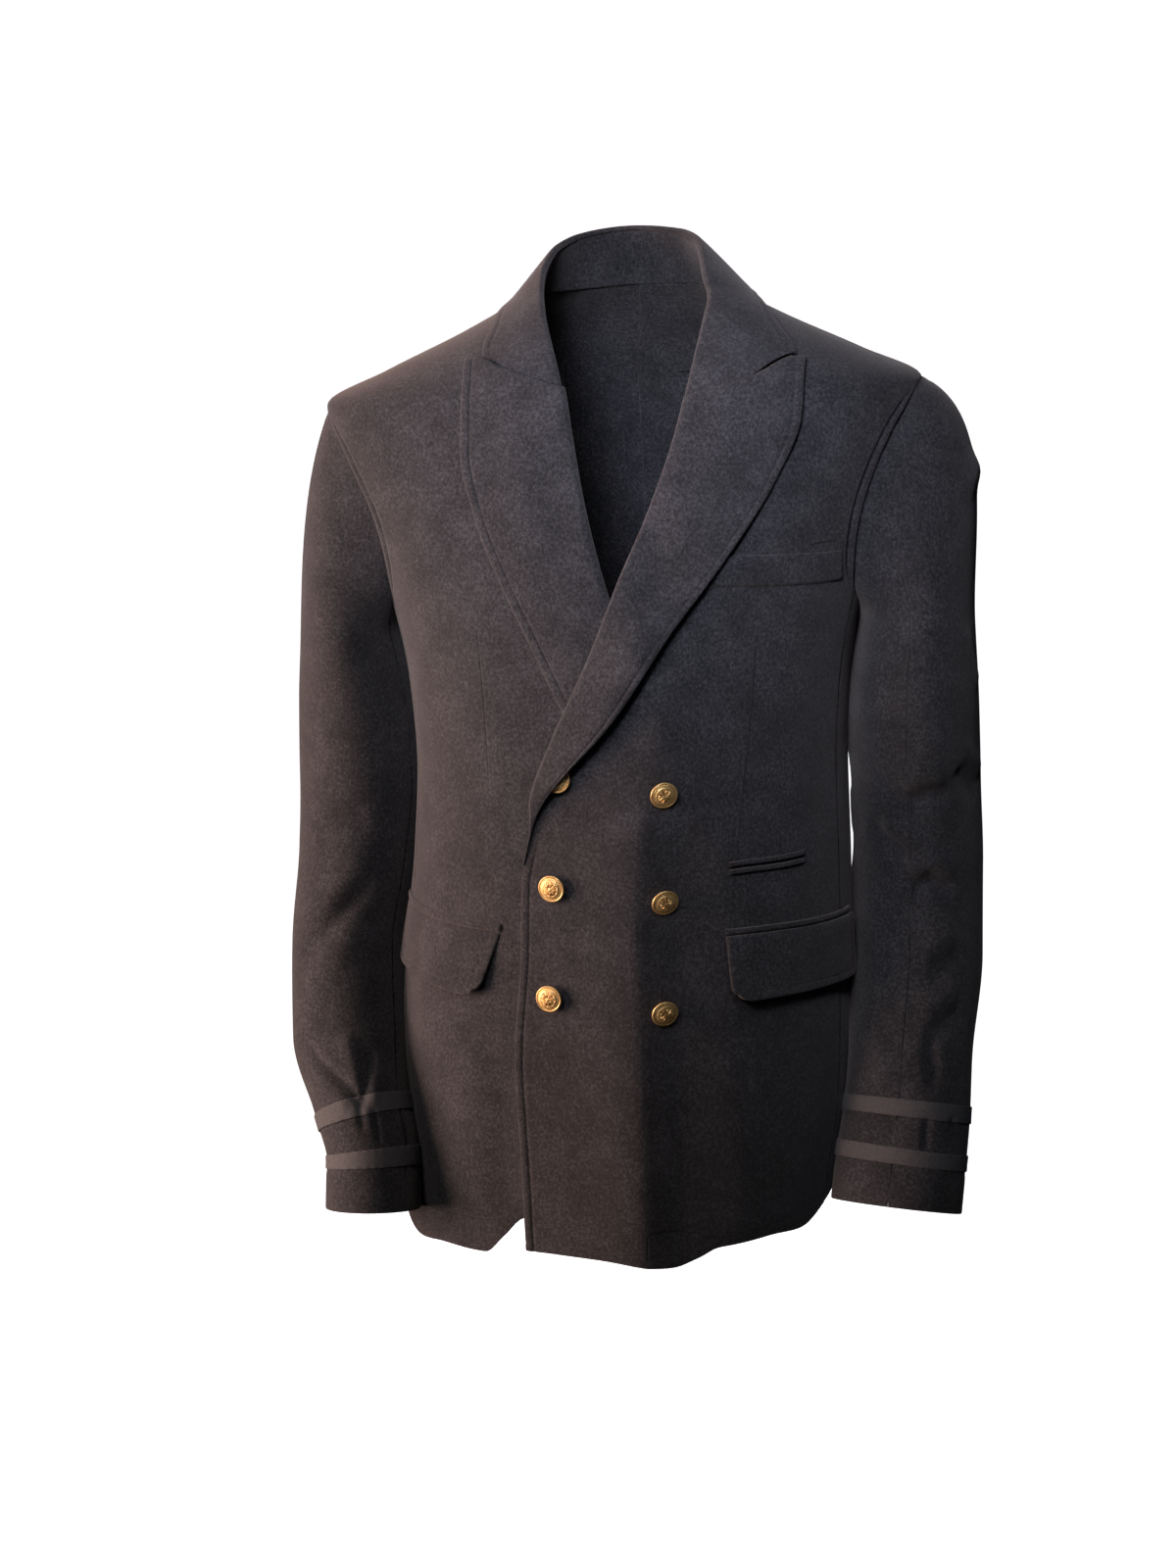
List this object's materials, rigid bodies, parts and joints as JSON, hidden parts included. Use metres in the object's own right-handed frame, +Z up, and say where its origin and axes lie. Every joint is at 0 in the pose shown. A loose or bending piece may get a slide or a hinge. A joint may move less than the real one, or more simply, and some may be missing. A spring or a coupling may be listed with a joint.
{
  "type": "double-breasted blazer",
  "caption": "Worn-shape double-breasted blazer with peak lapels, domed metal buttons, jetted and flap pockets and two flat tape bands round each cuff.",
  "frame": {"origin": "the middle of the neck, level with the points where the shoulder seams meet the collar: where the wearer's shoulders carry it", "axes": "+Z up, the front faces -Y, the wearer's left at +X"},
  "size_m": [0.5723, 0.28, 0.807],
  "materials": {
    "wool_flannel": "near-black napped wool flannel, matt with a soft nap",
    "ribbed_tape": "dull grey-brown woven tape with fine ribs",
    "antique_brass": "warm gold-coloured brass, softly worn, darker in the hollows of its relief"
  },
  "bodies": {
    "root": {"front_left": "wool_flannel", "side_body_upper_left": "wool_flannel", "side_body_lower_left": "wool_flannel", "back_left": "wool_flannel", "lapel_left": "wool_flannel", "top_sleeve_head_left": "wool_flannel", "top_sleeve_upper_left": "wool_flannel", "top_sleeve_fore_left": "wool_flannel", "under_sleeve_upper_left": "wool_flannel", "under_sleeve_fore_left": "wool_flannel", "cuff_tape_upper_left": "ribbed_tape", "cuff_tape_lower_left": "ribbed_tape", "hip_jet_left": "wool_flannel", "hip_flap_left": "wool_flannel", "front_right": "wool_flannel", "side_body_upper_right": "wool_flannel", "side_body_lower_right": "wool_flannel", "back_right": "wool_flannel", "lapel_right": "wool_flannel", "top_sleeve_head_right": "wool_flannel", "top_sleeve_upper_right": "wool_flannel", "top_sleeve_fore_right": "wool_flannel", "under_sleeve_upper_right": "wool_flannel", "under_sleeve_fore_right": "wool_flannel", "cuff_tape_upper_right": "ribbed_tape", "cuff_tape_lower_right": "ribbed_tape", "hip_jet_right": "wool_flannel", "hip_flap_right": "wool_flannel", "collar_fall": "wool_flannel", "collar_stand": "wool_flannel", "chest_welt": "wool_flannel", "ticket_jet_upper": "wool_flannel", "ticket_jet_lower": "wool_flannel", "button_1": "antique_brass", "button_2": "antique_brass", "button_3": "antique_brass", "button_4": "antique_brass", "button_5": "antique_brass", "button_6": "antique_brass"}
  },
  "joints": []
}
